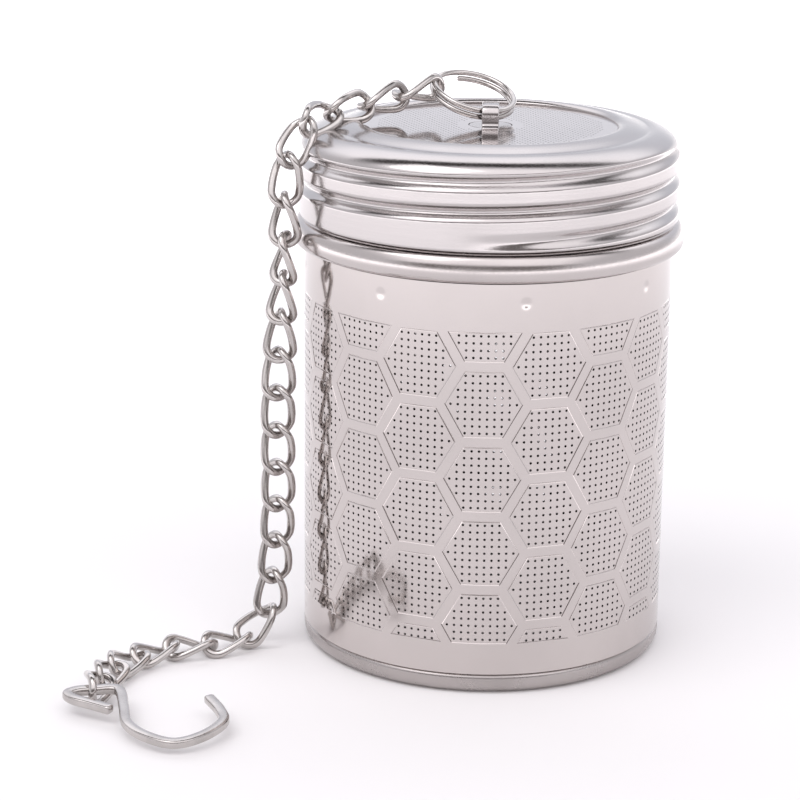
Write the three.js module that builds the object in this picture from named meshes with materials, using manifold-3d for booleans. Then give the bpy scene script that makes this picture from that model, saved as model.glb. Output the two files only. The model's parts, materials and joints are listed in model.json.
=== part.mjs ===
// Screw-top tea infuser: a drum of perforated steel with a threaded lid, a split ring,
// a curb chain and a hook that hangs over the rim of a cup.
// Millimetres, +Z up. The origin is the middle of the flat underside.
// The front faces -Y and the chain hangs down on the -X side.

import * as THREE from 'three';
import { mergeVertices } from 'three/addons/utils/BufferGeometryUtils.js';
import Module from 'manifold-3d';

const wasm = await Module();
wasm.setup();

// ---- driving dimensions -------------------------------------------------------------

// Can
const bodyRadius = 20.6;
const tubeLength = 43.85;
const tubeWall = 0.3;

const baseHeight = 2.35;
const baseWall = 0.4;
const baseCorner = 1.3;
const baseFloor = 0.5;
const baseSkirtHeight = 3.4;

// Collar
const beadHeight = 3.3;
const beadReach = 1.3;
const collarSkirtDepth = 4.2;
const collarWall = 0.4;
const neckHeight = 6.8;

// Screw thread, one right-handed groove rolled into the lid and the neck
const threadLead = 3.15;
const threadDepth = 0.75;
const threadHalfWidth = 1.0;
const threadHeightAtFront = 4.3;
const threadFirstBearing = 20 - 360;
const threadLastBearing = 430;
const threadFade = 30;

// Lid
const lidHeight = 10.3;
const lidReach = 0.65;
const lidWall = 0.4;
const lipWidth = 7.3;
const lipSeat = 4.65;
const shoulderDrop = 3.0;
const discDrop = 0.5;
const discThickness = 0.4;

// Bail
const bailWidth = 1.9;
const bailStrap = 0.45;
const bailInnerSpan = 3.2;
const bailInnerHeight = 2.0;
const bailFootRadius = 2.4;
const bailFlangeRadius = 3.3;
const bailFlangeThickness = 0.45;

// Split ring
const ringRadius = 4.65;
const ringWire = 0.68;
const ringTurns = 1.94;
const ringPlace = [-2.05, 3.82, 2.3];
const ringTilt = 22;
const ringTiltBearing = -53;
const ringEndBearing = 112;

// Chain
const linkCount = 24;
const linkPitch = 4.4;
const linkWire = 0.85;
const linkWidth = 3.9;
const linkPlay = 0.32;
const linkTwist = 90;
const turningLinks = 3;

// Hook
const hookWidth = 1.3;
const hookThickness = 1.05;
const hookTilt = 4.4;
const hookPlay = 0.3;

// Clearances
const fitGap = 0.05;
const seamGap = 0.1;
const swivelGap = 0.15;
const threadClearance = 0.25;
const chainClearance = 0.1;

// Fineness of the facets
const aroundFacets = 32;
const rowsPerLead = 5;

// ---- heights and radii that follow --------------------------------------------------

const tubeBottom = baseHeight;
const tubeTop = tubeBottom + tubeLength;
const tubeInner = bodyRadius - tubeWall;
const beadBottom = tubeTop + seamGap;
const beadTop = beadBottom + beadHeight;
const beadRadius = bodyRadius + beadReach;
const neckTop = beadTop + neckHeight;
const lidRadius = bodyRadius + lidReach;
const lidInner = lidRadius - lidWall;
const lidBottom = beadTop + seamGap;
const totalHeight = lidBottom + lidHeight;
const lidShoulder = totalHeight - shoulderDrop;
const lidThreadTop = lidShoulder + 0.9;
const lidOpening = lidRadius - lipWidth;
const discRadius = lidRadius - lipSeat;
const discTop = totalHeight - discDrop;

// ---- helpers ------------------------------------------------------------------------

const degrees = Math.PI / 180;

function metal(name, colour, roughness) {
  return new THREE.MeshStandardMaterial({ name, color: colour, roughness, metalness: 1 });
}

const finishes = {
  tube: metal('perforated_steel', 0xc9c6c8, 0.22),
  cap: metal('base_steel', 0xb9b5b7, 0.35),
  lid: metal('lid_steel', 0xd6d3d5, 0.12),
  disc: metal('disc_steel', 0xc4c4c8, 0.16),
  wire: metal('wire_steel', 0xcfcaca, 0.18),
};

function addPart(parent, name, geometry, material) {
  const mesh = new THREE.Mesh(geometry, material);
  mesh.name = name;
  parent.add(mesh);
  return mesh;
}

// A ring or cup turned about the Z axis. The profile is a list of [radius, height] that
// runs up the outside and down the inside, and closes on itself or ends on the axis.
function turned(profile) {
  const closed = profile[0][0] > 0;
  const points = profile.map(([radius, height]) => new THREE.Vector2(radius, height));
  if (closed) {
    points.push(points[0].clone());
  }
  const geometry = new THREE.LatheGeometry(points, aroundFacets);
  geometry.rotateX(Math.PI / 2);
  return geometry;
}

// Manifold solid of a closed geometry, for joining and cutting.
function solidOf(geometry) {
  const bare = geometry.clone();
  bare.deleteAttribute('normal');
  bare.deleteAttribute('uv');
  const merged = mergeVertices(bare, 1e-4);
  const vertProperties = new Float32Array(merged.attributes.position.array);
  const triVerts = new Uint32Array(merged.index.array);
  return new wasm.Manifold(new wasm.Mesh({ numProp: 3, vertProperties, triVerts }));
}

function geometryOf(solid) {
  const mesh = solid.getMesh();
  const geometry = new THREE.BufferGeometry();
  geometry.setAttribute('position', new THREE.BufferAttribute(mesh.vertProperties, 3));
  geometry.setIndex(new THREE.BufferAttribute(mesh.triVerts, 1));
  geometry.computeVertexNormals();
  return geometry;
}

// ---- screw thread -------------------------------------------------------------------

// Depth of the rolled groove at a bearing (degrees from the front, counter-clockwise seen
// from above) and a height. The groove is one right-handed helix that fades in at its first
// bearing and out at its last one.
function grooveDepth(bearing, height, halfWidth, lastBearing) {
  let deepest = 0;
  for (let turn = -2; turn <= 3; turn += 1) {
    const along = bearing + 360 * turn;
    const begun = along - threadFirstBearing;
    const left = lastBearing - along;
    const fadeIn = THREE.MathUtils.smoothstep(begun, -threadFade, threadFade);
    const fadeOut = THREE.MathUtils.smoothstep(left, -threadFade, threadFade);
    const middle = beadTop + threadHeightAtFront + threadLead * along / 360;
    const offset = Math.abs(height - middle) / halfWidth;
    if (offset < 1) {
      const section = 0.5 + 0.5 * Math.cos(Math.PI * offset);
      deepest = Math.max(deepest, threadDepth * section * fadeIn * fadeOut);
    }
  }
  return deepest;
}

// Pulls the wall of a turned piece inwards along the groove, between two heights and
// outside a smallest radius, so that the sheet keeps its thickness.
function rollThread(geometry, { low, high, smallest, halfWidth, lastBearing }) {
  const position = geometry.attributes.position;
  const point = new THREE.Vector3();
  for (let index = 0; index < position.count; index += 1) {
    point.fromBufferAttribute(position, index);
    const radius = Math.hypot(point.x, point.y);
    if (point.z > low && point.z < high && radius > smallest) {
      const bearing = Math.atan2(point.x, -point.y) / degrees;
      const pulled = radius - grooveDepth(bearing, point.z, halfWidth, lastBearing);
      point.x *= pulled / radius;
      point.y *= pulled / radius;
      position.setXYZ(index, point.x, point.y, point.z);
    }
  }
  return geometry;
}

// Evenly spaced heights between two ends, for the rows of a threaded wall.
function rowHeights(low, high) {
  const count = Math.ceil((high - low) * rowsPerLead / threadLead);
  return Array.from({ length: count + 1 }, (unused, row) => low + (high - low) * row / count);
}

// ---- can ----------------------------------------------------------------------------

function bodyTube() {
  return turned([
    [bodyRadius, tubeBottom],
    [bodyRadius, tubeTop],
    [tubeInner, tubeTop],
    [tubeInner, tubeBottom],
  ]);
}

// Pressed cup: flat floor, rounded corner flush with the tube, and a skirt up inside it.
function baseCup() {
  const shoulder = tubeBottom - fitGap;
  const skirtOuter = tubeInner - fitGap;
  const skirtInner = skirtOuter - baseWall;
  const cornerHeight = baseCorner * 0.3;
  return turned([
    [0, 0],
    [bodyRadius - baseCorner, 0],
    [bodyRadius - cornerHeight, cornerHeight],
    [bodyRadius, baseCorner],
    [bodyRadius, shoulder],
    [skirtOuter, shoulder],
    [skirtOuter, shoulder + baseSkirtHeight],
    [skirtInner, shoulder + baseSkirtHeight],
    [skirtInner, baseFloor + baseCorner],
    [skirtInner - baseCorner, baseFloor],
    [0, baseFloor],
  ]);
}

// Collar: a skirt inside the tube, a rolled bead outside, and the threaded neck.
function collar() {
  const skirtOuter = tubeInner - fitGap;
  const skirtInner = skirtOuter - collarWall;
  const neckOuter = lidInner - threadClearance;
  const neckInner = neckOuter - collarWall;
  const beadMiddle = (beadBottom + beadTop) / 2;
  const beadShoulder = beadRadius - 0.45;
  const neckRows = rowHeights(beadTop + 0.3, neckTop);
  const profile = [
    [skirtOuter, tubeTop - collarSkirtDepth],
    [skirtOuter, beadBottom],
    [beadShoulder, beadBottom],
    [beadRadius, beadBottom + 0.7],
    [beadRadius, beadTop - 0.9],
    [beadShoulder, beadTop - 0.2],
    [neckOuter + 0.1, beadTop - fitGap],
    ...neckRows.map((height) => [neckOuter, height]),
    ...neckRows.toReversed().map((height) => [neckInner, height]),
    [skirtInner, beadMiddle],
    [skirtInner, tubeTop - collarSkirtDepth],
  ];
  return rollThread(turned(profile), {
    low: beadTop + 0.2,
    high: neckTop + 0.1,
    smallest: neckInner - 0.05,
    halfWidth: threadHalfWidth + threadClearance,
    lastBearing: threadLastBearing + 360,
  });
}

// ---- lid ----------------------------------------------------------------------------

// Drawn cap with the thread rolled into its wall and a rounded lip around the disc.
function lidShell() {
  const topUnder = discTop + fitGap;
  const wallRows = rowHeights(lidBottom, lidShoulder);
  const profile = [
    ...wallRows.map((height) => [lidRadius, height]),
    [lidRadius - 0.25, lidShoulder + 0.6],
    [lidRadius - 0.65, totalHeight - 1.7],
    [lidRadius - 1.25, totalHeight - 1.2],
    [lidRadius - 2.25, totalHeight - 0.75],
    [lidRadius - 3.9, totalHeight - 0.36],
    [lidRadius - 4.5, totalHeight - 0.08],
    [lidRadius - 5.75, totalHeight],
    [lidOpening + 0.45, totalHeight - 0.12],
    [lidOpening, discTop + 0.15],
    [lidOpening + 0.1, topUnder],
    [discRadius + fitGap, topUnder],
    [discRadius + 0.3, discTop - 0.25],
    [lidRadius - 2.5, totalHeight - 1.2],
    [lidRadius - 1.55, totalHeight - 1.65],
    [lidRadius - 0.95, totalHeight - 2.2],
    ...wallRows.toReversed().map((height) => [lidInner, height]),
  ];
  return rollThread(turned(profile), {
    low: lidBottom + 0.2,
    high: lidThreadTop,
    smallest: lidInner - 1,
    halfWidth: threadHalfWidth,
    lastBearing: threadLastBearing,
  });
}

// Disc of the lid, held under the lip, with a round hole for the bail's foot.
function lidScreen() {
  const hole = bailFootRadius + swivelGap;
  return turned([
    [discRadius, discTop - discThickness],
    [discRadius, discTop],
    [hole, discTop],
    [hole, discTop - discThickness],
  ]);
}

// Bail: a strap bent into an arch, standing on a foot that turns in the disc like a rivet.
function bailGeometry() {
  const discUnder = discTop - discThickness;
  const flangeTop = discUnder - swivelGap;
  const foot = turned([
    [0, flangeTop - bailFlangeThickness],
    [bailFlangeRadius, flangeTop - bailFlangeThickness],
    [bailFlangeRadius, flangeTop],
    [bailFootRadius, flangeTop],
    [bailFootRadius, discTop],
    [0, discTop],
  ]);
  const outerHalf = bailInnerSpan / 2 + bailStrap;
  const archTop = bailInnerHeight + bailStrap;
  const corner = 0.9;
  const arch = new THREE.Shape();
  arch.moveTo(-outerHalf, -0.1);
  arch.lineTo(-outerHalf, archTop - corner);
  arch.quadraticCurveTo(-outerHalf, archTop, -outerHalf + corner, archTop);
  arch.lineTo(outerHalf - corner, archTop);
  arch.quadraticCurveTo(outerHalf, archTop, outerHalf, archTop - corner);
  arch.lineTo(outerHalf, -0.1);
  arch.lineTo(outerHalf - bailStrap, -0.1);
  arch.lineTo(outerHalf - bailStrap, bailInnerHeight - corner / 2);
  arch.lineTo(outerHalf - bailStrap - corner / 2, bailInnerHeight);
  arch.lineTo(-outerHalf + bailStrap + corner / 2, bailInnerHeight);
  arch.lineTo(-outerHalf + bailStrap, bailInnerHeight - corner / 2);
  arch.lineTo(-outerHalf + bailStrap, -0.1);
  arch.closePath();
  const settings = { depth: bailWidth, bevelEnabled: false, curveSegments: 4 };
  const strap = new THREE.ExtrudeGeometry(arch, settings);
  strap.translate(0, 0, -bailWidth / 2);
  strap.rotateX(Math.PI / 2);
  strap.rotateZ(Math.PI / 2);
  strap.translate(0, 0, discTop);
  return geometryOf(solidOf(foot).add(solidOf(strap)));
}

// ---- split ring ---------------------------------------------------------------------

const ringNormal = new THREE.Vector3(
  Math.sin(ringTilt * degrees) * Math.cos(ringTiltBearing * degrees),
  Math.sin(ringTilt * degrees) * Math.sin(ringTiltBearing * degrees),
  Math.cos(ringTilt * degrees),
);
const ringCentre = new THREE.Vector3(...ringPlace);
ringCentre.z += totalHeight;
const ringTurn = new THREE.Quaternion().setFromUnitVectors(new THREE.Vector3(0, 0, 1), ringNormal);

const coilPitch = ringWire + 2 * fitGap;

class Coil extends THREE.Curve {
  getPoint(share, target = new THREE.Vector3()) {
    const angle = (ringEndBearing + 360 * ringTurns * share) * degrees;
    const rise = coilPitch * (ringTurns * share - ringTurns / 2);
    return target.set(ringRadius * Math.cos(angle), ringRadius * Math.sin(angle), rise);
  }
}

// Point where a link pulls on the inside of both turns, at a bearing in the ring's plane.
function ringHold(bearing) {
  const turnsBefore = ((bearing - ringEndBearing + 360) % 360) / 360;
  const rise = coilPitch * (turnsBefore + 0.5 - ringTurns / 2);
  const radius = ringRadius - ringWire / 2 - 3 * fitGap;
  const angle = bearing * degrees;
  const point = new THREE.Vector3(radius * Math.cos(angle), radius * Math.sin(angle), rise);
  return point.applyQuaternion(ringTurn).add(ringCentre);
}

function roundSection(radius, sides) {
  const points = Array.from({ length: sides }, (unused, side) => {
    const angle = 2 * Math.PI * side / sides;
    return new THREE.Vector2(radius * Math.cos(angle), radius * Math.sin(angle));
  });
  return new THREE.Shape(points);
}

function splitRing() {
  const path = { steps: 36, extrudePath: new Coil(), bevelEnabled: false };
  return new THREE.ExtrudeGeometry(roundSection(ringWire / 2, 6), path);
}

// ---- chain --------------------------------------------------------------------------

const linkHalfWidth = (linkWidth - linkWire) / 2;
const linkHalfLength = (linkPitch + linkWire + linkPlay) / 2;

// Point of the flat link's centreline, a slot with round ends, at a share of its length.
function slotPoint(share) {
  const straight = linkHalfLength - linkHalfWidth;
  const perimeter = 4 * straight + 2 * Math.PI * linkHalfWidth;
  const quarterTurn = Math.PI * linkHalfWidth / 2;
  let along = share * perimeter;
  let side = 1;
  if (along > perimeter / 2) {
    along -= perimeter / 2;
    side = -1;
  }
  let angle = along / linkHalfWidth;
  let centre = straight;
  if (along > quarterTurn + 2 * straight) {
    angle = (along - 2 * straight) / linkHalfWidth;
    centre = -straight;
  } else if (along > quarterTurn) {
    angle = Math.PI / 2;
    centre = straight - (along - quarterTurn);
  }
  const outward = new THREE.Vector2(Math.cos(angle), Math.sin(angle)).multiplyScalar(side);
  const point = outward.clone().multiplyScalar(linkHalfWidth);
  point.x += side * centre;
  return { point, outward };
}

// One link about its own middle, long along X and flat in XY, then twisted about X.
function chainLink() {
  const geometry = new THREE.TorusGeometry(1, linkWire / 2, 6, 14);
  const position = geometry.attributes.position;
  const vertex = new THREE.Vector3();
  for (let index = 0; index < position.count; index += 1) {
    vertex.fromBufferAttribute(position, index);
    const turn = Math.atan2(vertex.y, vertex.x) / (2 * Math.PI);
    const share = (turn + 1) % 1;
    const { point, outward } = slotPoint(share);
    const off = Math.hypot(vertex.x, vertex.y) - 1;
    const flat = new THREE.Vector3(point.x + outward.x * off, point.y + outward.y * off, vertex.z);
    const twist = -linkTwist * degrees * flat.x / (2 * linkHalfLength);
    flat.applyAxisAngle(new THREE.Vector3(1, 0, 0), twist);
    position.setXYZ(index, flat.x, flat.y, flat.z);
  }
  return geometry;
}

const ringLeft = ringHold(180);
const sideReach = beadRadius + 1.3;
const floorRise = 0.46 * linkHalfWidth + linkWire / 2 + chainClearance;

// Stations of the chain: where it lies, and which way the face of its links looks there.
const chainStations = [
  { place: [ringLeft.x, ringLeft.y, ringLeft.z], face: [-0.1, 0.35, 0.9] },
  { place: [-bodyRadius + 10.2, 1.6, totalHeight + 2.3], face: [-0.1, 0.35, 0.9] },
  { place: [-bodyRadius + 6.1, -0.8, totalHeight + 1.4], face: [0, 0.1, 1] },
  { place: [-bodyRadius + 2.3, -3.6, totalHeight + 1.0], face: [-0.1, 0, 1] },
  { place: [-bodyRadius + 0.2, -6.9, totalHeight - 0.1], face: [-0.6, -0.3, 0.75] },
  { place: [-bodyRadius - 1.4, -7.9, totalHeight - 4.0], face: [-0.95, -0.3, 0.1] },
  { place: [-sideReach + 1.0, -8.2, totalHeight - 12.5], face: [-0.95, -0.35, 0] },
  { place: [-sideReach + 0.5, -8.0, 0.63 * totalHeight], face: [-0.95, -0.35, 0] },
  { place: [-sideReach + 0.15, -7.7, 0.47 * totalHeight], face: [-0.7, -0.7, 0] },
  { place: [-sideReach + 0.1, -7.2, 0.27 * totalHeight], face: [-0.35, -0.95, 0] },
  { place: [-sideReach - 0.55, -6.8, 0.12 * totalHeight], face: [-0.35, -0.95, 0] },
  { place: [-sideReach - 1.4, -6.6, 3.0], face: [-0.3, -0.7, 0.6] },
  { place: [-sideReach - 3.9, -8.9, floorRise], face: [-0.1, -0.3, 0.9] },
  { place: [-sideReach - 7.4, -11.1, floorRise], face: [0, 0, 1] },
  { place: [-sideReach - 11.3, -12.0, floorRise], face: [0, 0, 1] },
  { place: [-sideReach - 14.1, -14.2, floorRise], face: [0, 0, 1] },
  { place: [-sideReach - 16.4, -17.6, floorRise + 0.25], face: [0.1, 0, 1] },
  { place: [-sideReach - 17.6, -21.8, floorRise + 0.65], face: [0.2, 0, 1] },
  { place: [-sideReach - 18.0, -26.3, floorRise + 0.8], face: [0.3, 0, 1] },
  { place: [-sideReach - 18.0, -31, floorRise + 0.8], face: [0.3, 0, 1] },
  { place: [-sideReach - 18.0, -45, floorRise + 0.8], face: [0.3, 0, 1] },
];

const chainRoute = new THREE.CatmullRomCurve3(
  chainStations.map(({ place }) => new THREE.Vector3(...place)),
  false,
  'centripetal',
);

// Face direction at a share of the route's stations.
function faceAt(share) {
  const at = share * (chainStations.length - 1);
  const before = Math.min(Math.floor(at), chainStations.length - 2);
  const from = new THREE.Vector3(...chainStations[before].face);
  const to = new THREE.Vector3(...chainStations[before + 1].face);
  return from.lerp(to, at - before).normalize();
}

// Face of a link that stands on edge at its far end, so that the hook's eye fits through.
// The last few links turn into it.
function hookedFace(along) {
  const up = new THREE.Vector3(0, 0, 1);
  const side = new THREE.Vector3().crossVectors(along, up);
  return up.multiplyScalar(0.65).addScaledVector(side, -0.75).normalize();
}

// Joints of the chain: points on the route, each one pitch from the last in a straight line.
function chainJoints() {
  const joints = [chainRoute.getPoint(0)];
  const faces = [];
  const step = 1 / 20000;
  let share = 0;
  while (joints.length <= linkCount) {
    const last = joints[joints.length - 1];
    const started = share;
    while (chainRoute.getPoint(share).distanceTo(last) < linkPitch) {
      share += step;
    }
    const next = chainRoute.getPoint(share);
    const along = next.clone().sub(last).normalize();
    const turning = THREE.MathUtils.clamp(1 - (linkCount - joints.length) / turningLinks, 0, 1);
    joints.push(next);
    faces.push(faceAt((started + share) / 2).lerp(hookedFace(along), turning).normalize());
  }
  return { joints, faces };
}

const { joints: linkJoints, faces: linkFaces } = chainJoints();

function placeLink(mesh, index) {
  const from = linkJoints[index];
  const to = linkJoints[index + 1];
  const along = to.clone().sub(from).normalize();
  const face = linkFaces[index].clone();
  face.addScaledVector(along, -face.dot(along)).normalize();
  const across = new THREE.Vector3().crossVectors(face, along);
  mesh.quaternion.setFromRotationMatrix(new THREE.Matrix4().makeBasis(along, across, face));
  mesh.position.copy(from).add(to).multiplyScalar(0.5);
}

// ---- hook ---------------------------------------------------------------------------

// Centreline of the hook in its own plane: the free end, the folded eye with the last
// link at the origin, the shank, the wide bend and the tip.
const hookOutline = [
  [2.4, -4.3],
  [0.2, -3.3],
  [-2.0, -2.3],
  [-2.7, -1.3],
  [-1.8, -0.45],
  [0, 0],
  [1.6, 0.4],
  [2.5, 0.2],
  [3.0, -0.7],
  [3.9, -3.9],
  [5.0, -7.5],
  [7.4, -10.0],
  [10.6, -11.2],
  [13.2, -9.4],
  [14.9, -5.9],
  [14.2, -3.6],
  [12.6, -0.9],
];

function hookGeometry() {
  const path = new THREE.CatmullRomCurve3(
    hookOutline.map(([x, y]) => new THREE.Vector3(x, y, 0)),
    false,
    'centripetal',
  );
  const thick = hookThickness / 2;
  const wide = hookWidth / 2;
  const soft = 0.3;
  const section = new THREE.Shape([
    new THREE.Vector2(thick, wide - soft),
    new THREE.Vector2(thick - soft, wide),
    new THREE.Vector2(-thick + soft, wide),
    new THREE.Vector2(-thick, wide - soft),
    new THREE.Vector2(-thick, -wide + soft),
    new THREE.Vector2(-thick + soft, -wide),
    new THREE.Vector2(thick - soft, -wide),
    new THREE.Vector2(thick, -wide + soft),
  ]);
  return new THREE.ExtrudeGeometry(section, { steps: 40, extrudePath: path, bevelEnabled: false });
}

// ---- assembly -----------------------------------------------------------------------

const infuser = new THREE.Group();

const can = new THREE.Group();
addPart(can, 'body_tube', bodyTube(), finishes.tube);
addPart(can, 'base_cup', baseCup(), finishes.cap);
addPart(can, 'collar', collar(), finishes.cap);
infuser.add(can);

const lid = new THREE.Group();
addPart(lid, 'lid_shell', lidShell(), finishes.lid);
addPart(lid, 'lid_screen', lidScreen(), finishes.disc);
infuser.add(lid);

addPart(infuser, 'bail', bailGeometry(), finishes.lid);

const ring = addPart(infuser, 'split_ring', splitRing(), finishes.wire);
ring.quaternion.copy(ringTurn);
ring.position.copy(ringCentre);

const chain = new THREE.Group();
const linkShape = chainLink();
for (let index = 0; index < linkCount; index += 1) {
  const name = `chain_link_${String(index + 1).padStart(2, '0')}`;
  placeLink(addPart(chain, name, linkShape, finishes.wire), index);
}
infuser.add(chain);

const hook = addPart(infuser, 'hook', hookGeometry(), finishes.wire);
const chainEnd = linkJoints[linkCount];
const chainEndDirection = chainEnd.clone().sub(linkJoints[linkCount - 1]).normalize();
const hookReach = hookWidth / 2 + hookPlay - linkPlay / 2;
hook.position.copy(chainEnd).addScaledVector(chainEndDirection, -hookReach);
const chainYaw = Math.atan2(chainEndDirection.x, -chainEndDirection.y);
hook.rotation.set(hookTilt * degrees, 0, chainYaw, 'ZXY');

export default infuser;
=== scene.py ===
"""Screw-top tea infuser: a drum of perforated steel with a threaded lid, a split ring,
a curb chain and a hook. The model is in metres, +Z up, with its front towards -Y."""

import json
import math

import bpy
import numpy as np
from mathutils import Matrix, Vector
from mathutils.geometry import delaunay_2d_cdt


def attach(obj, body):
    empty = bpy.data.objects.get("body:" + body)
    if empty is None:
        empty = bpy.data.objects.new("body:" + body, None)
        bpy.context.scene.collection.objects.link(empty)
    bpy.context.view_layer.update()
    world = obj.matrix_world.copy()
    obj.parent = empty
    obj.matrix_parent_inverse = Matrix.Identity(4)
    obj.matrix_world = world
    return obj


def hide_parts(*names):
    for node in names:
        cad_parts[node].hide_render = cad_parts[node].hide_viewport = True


bl_info = {
    "name": "Tea Infuser",
    "version": (1, 0, 0),
    "blender": (4, 5, 0),
    "location": "3D View > Sidebar > Infuser",
    "description": "Builds the visible pieces of a screw-top tea infuser",
    "category": "Add Mesh",
}

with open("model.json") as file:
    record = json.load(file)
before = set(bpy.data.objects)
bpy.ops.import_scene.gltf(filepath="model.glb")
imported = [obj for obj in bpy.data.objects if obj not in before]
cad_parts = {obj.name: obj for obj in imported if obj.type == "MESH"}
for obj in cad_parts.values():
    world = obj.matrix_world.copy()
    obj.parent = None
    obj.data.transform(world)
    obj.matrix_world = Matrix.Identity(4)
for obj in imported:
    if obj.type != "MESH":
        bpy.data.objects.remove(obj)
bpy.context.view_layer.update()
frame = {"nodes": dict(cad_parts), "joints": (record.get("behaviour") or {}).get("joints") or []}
JOINTS = {joint["name"]: joint for joint in frame["joints"]}

MM = 0.001
TURN = 2 * math.pi

# ---- sizes in millimetres -----------------------------------------------------------

BODY_RADIUS = 20.6
TUBE_BOTTOM = 2.35
TUBE_TOP = 46.2
TUBE_WALL = 0.3

SHEET = 0.4
BASE_SHEET = 0.45
BASE_CORNER = 1.3
BASE_SKIRT_TOP = 5.7
SKIRT_RADIUS = 20.25

BEAD_BOTTOM = 46.3
BEAD_TOP = 49.6
BEAD_RADIUS = 21.9
COLLAR_SKIRT_BOTTOM = 42.0
NECK_RADIUS = 20.6
NECK_TOP = 56.4

LID_RADIUS = 21.25
LID_BOTTOM = 49.7
LID_SHOULDER = 57.0
SHOULDER_REACH = 3.6
SHOULDER_RISE = 2.5
DISC_TOP = 59.5
DISC_RADIUS = 15.6
SCREEN_TURN = math.radians(27)

THREAD_LEAD = 3.15
THREAD_DEPTH = 0.75
THREAD_HALF_WIDTH = 1.0
THREAD_CLEARANCE = 0.25
THREAD_FRONT = 53.9
THREAD_FIRST = -340.0
THREAD_LAST = 430.0
THREAD_FADE = 30.0

HEX_COLUMNS = 18
HEX_PITCH = 8.351
HEX_EVEN_FIRST = 41.40
HEX_ODD_FIRST = 45.578
HEX_FIELD_LOW = 5.9
HEX_FIELD_HIGH = 41.0
FIELD_SHEET_LOW = 5.5
FIELD_SHEET_HIGH = 41.4
WELD_RADIUS = 0.75
WELD_DEPTH = 0.07
TOP_WELDS = (
    (-33, 44.2), (12, 44.1), (57, 44.1), (102, 44.2),
    (147, 44.1), (192, 44.2), (237, 44.1), (282, 44.1),
)
LOW_WELDS = ((-16, 3.9), (42.5, 3.9), (102, 3.9), (162, 3.9), (222, 3.9), (282, 3.9))
HOLE_ACROSS = 0.7892
HOLE_DOWN = 0.7956
HOLES_IN_ROWS = (6, 6, 8, 8, 10, 8, 8, 6, 6)

BAIL_FOOT_RADIUS = 2.4
BAIL_FLANGE_RADIUS = 3.3
BAIL_HALF_SPAN = 1.825
BAIL_RISE = 2.225
BAIL_BEND = 0.95
BAIL_HALF_THICKNESS = 0.225
BAIL_HALF_WIDTH = 0.95
SWIVEL_GAP = 0.05
SCREEN_MARGIN = 14.0
HOLE_MARGIN = 0.3

RING_RADIUS = 4.65
RING_WIRE = 0.64
RING_TURNS = 1.84
RING_COIL = 0.78
RING_CENTRE = (-2.05, 3.82, 62.3)
RING_TILT = math.radians(22)
RING_TILT_BEARING = math.radians(-53)
RING_END = math.radians(112)

LINK_COUNT = 24
LINK_WIRE = 0.9
LINK_HALF_WIDTH = 1.525
LINK_HALF_LENGTH = 2.785
LINK_TWIST = math.radians(90)
FACED_LINKS = (0, 2, 5, 7, 11, 14, 17)
FACED_SHARES = (0.2, 0.8, 0.8, 0.1, 1.0, 1.0, 0.0)

HOOK_WIDTH = 1.16
HOOK_THICKNESS = 0.98
HOOK_TILT = math.radians(4.4)
HOOK_REACH = 0.79
HOOK_OUTLINE = (
    (2.4, -4.3), (0.2, -3.3), (-2.0, -2.3), (-2.7, -1.3), (-1.8, -0.45), (0, 0),
    (1.6, 0.4), (2.5, 0.2), (3.0, -0.7), (3.9, -3.9), (5.0, -7.5), (7.4, -10.0),
    (10.6, -11.2), (13.2, -9.4), (14.9, -5.9), (14.2, -3.6), (12.6, -0.9),
)

BAND_COLUMNS = 216
BASE_COLUMNS = 192
COLLAR_COLUMNS = 224
LID_COLUMNS = 256
FOOT_COLUMNS = 64
RING_STEPS = 150
LINK_STEPS = 56
WIRE_SIDES = 16
RING_SIDES = 14

SOFT_BOX_PLACE = (-0.35, -0.25, 0.8)
SOFT_BOX_TARGET = (0, 0, 0.03)
SOFT_BOX_SIZE = (0.5, 0.5)
SOFT_BOX_POWER = 1.0
CAMERA_ANGLES = (-2.2535, 16.122, 0.62)
CAMERA_PLACE = (1.596, -287.156, 110.54)
FLOOR_REACH = 2500.0
FLOOR_DROP = 0.02

# ---- meshes -------------------------------------------------------------------------


def new_piece(name, points, triangles, quads, sharp=30.0, normals=None):
    """Makes an object at the origin from points in millimetres and two arrays of faces.
    Edges that turn more than `sharp` degrees stay crisp, or `normals` holds one normal
    for each face corner."""
    triangles = np.asarray(triangles, np.int32).reshape(-1, 3)
    quads = np.asarray(quads, np.int32).reshape(-1, 4)
    sizes = np.concatenate([np.full(len(triangles), 3), np.full(len(quads), 4)])
    corners = np.concatenate([triangles.ravel(), quads.ravel()])
    mesh = bpy.data.meshes.new(name)
    mesh.vertices.add(len(points))
    mesh.vertices.foreach_set("co", (np.asarray(points) * MM).astype(np.float32).ravel())
    mesh.loops.add(len(corners))
    mesh.loops.foreach_set("vertex_index", corners.astype(np.int32))
    mesh.polygons.add(len(sizes))
    starts = np.concatenate([[0], np.cumsum(sizes)[:-1]])
    mesh.polygons.foreach_set("loop_start", starts.astype(np.int32))
    mesh.polygons.foreach_set("use_smooth", np.ones(len(sizes), bool))
    mesh.update(calc_edges=True)
    if normals is None:
        mesh.set_sharp_from_angle(angle=math.radians(sharp))
    else:
        mesh.normals_split_custom_set(normals.tolist())
    piece = bpy.data.objects.new(name, mesh)
    bpy.context.scene.collection.objects.link(piece)
    return piece


def finish_piece(piece, material, body, slot, *nodes):
    piece.data.materials.append(material)
    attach(piece, body)
    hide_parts(*nodes)
    return piece


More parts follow.
